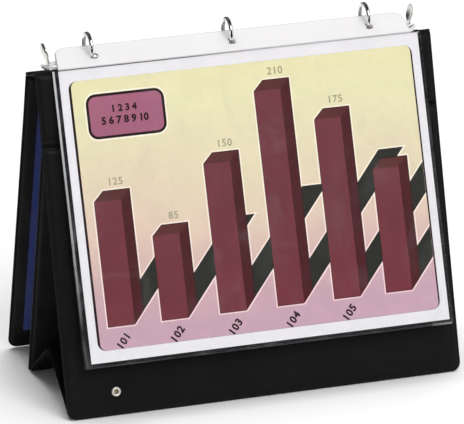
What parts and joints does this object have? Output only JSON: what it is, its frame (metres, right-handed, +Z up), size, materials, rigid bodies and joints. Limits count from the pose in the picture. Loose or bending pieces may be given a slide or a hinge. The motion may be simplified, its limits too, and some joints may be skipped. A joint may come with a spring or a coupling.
{
  "type": "easel binder",
  "caption": "Landscape easel ring binder standing on its folded back board, with sheet protectors hung over its open spine.",
  "frame": {"origin": "on the desk, under the middle of the object's bounding box", "axes": "+Z up, +X along the spine to the viewer's right, -Y the side that shows the page"},
  "size_m": [0.3078, 0.1647, 0.2673],
  "materials": {
    "binding_strip_front": "off-white plastic binding strip",
    "binding_strip_rear": "off-white plastic binding strip",
    "blade_front": "plain sheet steel",
    "blade_rear": "plain sheet steel",
    "cover_hinge_vinyl": "fine-grained black vinyl sheet, low sheen",
    "cover_insert_sheet": "dark blue printed card",
    "cover_pocket_film": "clear polypropylene film",
    "cover_snap_cap": "bright nickel-chrome plate",
    "cover_snap_stud": "bright nickel-chrome plate",
    "easel_hinge_vinyl": "fine-grained black vinyl sheet, low sheen",
    "easel_leg_board": "grey-brown chipboard",
    "easel_leg_front_vinyl": "fine-grained black vinyl sheet, low sheen",
    "easel_leg_rear_vinyl": "fine-grained black vinyl sheet, low sheen",
    "front_flap_hinge_vinyl": "fine-grained black vinyl sheet, low sheen",
    "front_panel_board_lower": "grey-brown chipboard",
    "front_panel_board_upper": "grey-brown chipboard",
    "front_panel_inner_vinyl": "fine-grained black vinyl sheet, low sheen",
    "front_panel_outer_vinyl": "fine-grained black vinyl sheet, low sheen",
    "gusset_front_flap": "fine-grained black vinyl sheet, low sheen",
    "gusset_peak_vinyl": "fine-grained black vinyl sheet, low sheen",
    "gusset_rear_flap": "fine-grained black vinyl sheet, low sheen",
    "lever_left": "bright nickel-chrome plate",
    "lever_pin_left": "bright nickel-chrome plate",
    "lever_pin_right": "bright nickel-chrome plate",
    "lever_right": "bright nickel-chrome plate",
    "page_sheet_front": "printed sheet, satin",
    "page_sheet_rear": "printed sheet, satin",
    "protector_sleeve_front": "clear polypropylene film",
    "protector_sleeve_rear": "clear polypropylene film",
    "rear_cover_board": "grey-brown chipboard",
    "rear_cover_inner_vinyl": "fine-grained black vinyl sheet, low sheen",
    "rear_cover_outer_vinyl": "fine-grained black vinyl sheet, low sheen",
    "rear_flap_hinge_vinyl": "fine-grained black vinyl sheet, low sheen",
    "ridge_hinge_vinyl": "fine-grained black vinyl sheet, low sheen",
    "ring_left_front_half": "bright nickel-chrome plate",
    "ring_left_rear_half": "bright nickel-chrome plate",
    "ring_metal_cover": "bright nickel-chrome plate",
    "ring_middle_front_half": "bright nickel-chrome plate",
    "ring_middle_rear_half": "bright nickel-chrome plate",
    "ring_right_front_half": "bright nickel-chrome plate",
    "ring_right_rear_half": "bright nickel-chrome plate",
    "rivet_left": "bright nickel-chrome plate",
    "rivet_right": "bright nickel-chrome plate",
    "snap_eyelet": "dull brass-coloured eyelet",
    "snap_socket": "bright nickel-chrome plate",
    "spine_board": "grey-brown chipboard",
    "spine_inner_vinyl": "fine-grained black vinyl sheet, low sheen",
    "spine_outer_vinyl": "fine-grained black vinyl sheet, low sheen"
  },
  "bodies": {
    "front_panel": {"front_panel_inner_vinyl": "front_panel_inner_vinyl", "front_panel_outer_vinyl": "front_panel_outer_vinyl", "front_panel_board_upper": "front_panel_board_upper", "front_panel_board_lower": "front_panel_board_lower", "ridge_hinge_vinyl": "ridge_hinge_vinyl", "easel_hinge_vinyl": "easel_hinge_vinyl", "front_flap_hinge_vinyl": "front_flap_hinge_vinyl", "snap_socket": "snap_socket", "snap_eyelet": "snap_eyelet"},
    "spine": {"spine_inner_vinyl": "spine_inner_vinyl", "spine_board": "spine_board", "spine_outer_vinyl": "spine_outer_vinyl", "cover_hinge_vinyl": "cover_hinge_vinyl", "ring_metal_cover": "ring_metal_cover", "rivet_left": "rivet_left", "rivet_right": "rivet_right", "lever_pin_left": "lever_pin_left", "lever_pin_right": "lever_pin_right"},
    "rear_cover": {"rear_cover_inner_vinyl": "rear_cover_inner_vinyl", "rear_cover_board": "rear_cover_board", "rear_cover_outer_vinyl": "rear_cover_outer_vinyl", "cover_insert_sheet": "cover_insert_sheet", "cover_pocket_film": "cover_pocket_film", "cover_snap_stud": "cover_snap_stud", "cover_snap_cap": "cover_snap_cap"},
    "easel_leg": {"easel_leg_front_vinyl": "easel_leg_front_vinyl", "easel_leg_board": "easel_leg_board", "easel_leg_rear_vinyl": "easel_leg_rear_vinyl", "rear_flap_hinge_vinyl": "rear_flap_hinge_vinyl"},
    "front_flap": {"gusset_front_flap": "gusset_front_flap", "gusset_peak_vinyl": "gusset_peak_vinyl"},
    "rear_flap": {"gusset_rear_flap": "gusset_rear_flap"},
    "jaw_front": {"blade_front": "blade_front", "ring_left_front_half": "ring_left_front_half", "ring_middle_front_half": "ring_middle_front_half", "ring_right_front_half": "ring_right_front_half"},
    "jaw_rear": {"blade_rear": "blade_rear", "ring_left_rear_half": "ring_left_rear_half", "ring_middle_rear_half": "ring_middle_rear_half", "ring_right_rear_half": "ring_right_rear_half"},
    "lever_left": {"lever_left": "lever_left"},
    "lever_right": {"lever_right": "lever_right"},
    "page_rear": {"binding_strip_rear": "binding_strip_rear", "protector_sleeve_rear": "protector_sleeve_rear", "page_sheet_rear": "page_sheet_rear"},
    "strip_front": {"binding_strip_front": "binding_strip_front"},
    "page_front": {"protector_sleeve_front": "protector_sleeve_front", "page_sheet_front": "page_sheet_front"}
  },
  "joints": [
    {"name": "easel_fold", "type": "hinge", "parent": "front_panel", "child": "easel_leg", "pos_m": [0, -0.01515, 0.1933], "axis": [1, 0, 0], "range_deg": [-26, 3]},
    {"name": "front_flap_fold", "type": "hinge", "parent": "front_panel", "child": "front_flap", "pos_m": [0, -0.07186, 0.00171], "axis": [1, 0, 0], "range_deg": [-4.4, 37.4]},
    {"name": "rear_flap_fold", "type": "hinge", "parent": "easel_leg", "child": "rear_flap", "pos_m": [0, 0.02764, 0.00183], "axis": [1, 0, 0], "range_deg": [-40.7, 4.8]},
    {"name": "spine_swing", "type": "hinge", "parent": "front_panel", "child": "spine", "pos_m": [0, -0.00263, 0.24591], "axis": [1, 0, 0], "range_deg": [0, 180]},
    {"name": "page_rear_swing", "type": "hinge", "parent": "spine", "child": "page_rear", "pos_m": [0, 0.01421, 0.25601], "axis": [1, 0, 0], "range_deg": [-180, 0]},
    {"name": "cover_swing", "type": "hinge", "parent": "spine", "child": "rear_cover", "pos_m": [0, 0.02119, 0.238], "axis": [1, 0, 0], "range_deg": [-4, 135]},
    {"name": "page_turn", "type": "hinge", "parent": "page_rear", "child": "strip_front", "pos_m": [0, 0.01421, 0.25601], "axis": [1, 0, 0], "range_deg": [-225, 0]},
    {"name": "page_bend", "type": "hinge", "parent": "strip_front", "child": "page_front", "pos_m": [0, -0.00603, 0.24755], "axis": [1, 0, 0], "range_deg": [-101.3, 0]},
    {"name": "ring_open", "type": "hinge", "parent": "spine", "child": "jaw_front", "pos_m": [0, 0.00218, 0.24642], "axis": [-1, 0, 0], "range_deg": [-13, 0]},
    {"name": "ring_open_rear", "type": "hinge", "parent": "spine", "child": "jaw_rear", "pos_m": [0, 0.01812, 0.24113], "axis": [-1, 0, 0], "range_deg": [0, 13]},
    {"name": "lever_left_tilt", "type": "hinge", "parent": "spine", "child": "lever_left", "pos_m": [-0.1381, 0.01034, 0.24434], "axis": [0, 0.9491, -0.315], "range_deg": [-35, 0]},
    {"name": "lever_right_tilt", "type": "hinge", "parent": "spine", "child": "lever_right", "pos_m": [0.1405, 0.01034, 0.24434], "axis": [0, 0.9491, -0.315], "range_deg": [0, 35]}
  ],
  "couplings": [
    {"joint": "front_flap_fold", "follows": "easel_fold", "ratio": -1.435},
    {"joint": "rear_flap_fold", "follows": "easel_fold", "ratio": 1.561},
    {"joint": "page_rear_swing", "follows": "spine_swing", "ratio": -1},
    {"joint": "page_bend", "follows": "page_turn", "ratio": 0.45},
    {"joint": "ring_open_rear", "follows": "ring_open", "ratio": -1},
    {"joint": "lever_left_tilt", "follows": "ring_open", "ratio": 2.69},
    {"joint": "lever_right_tilt", "follows": "ring_open", "ratio": -2.69}
  ]
}
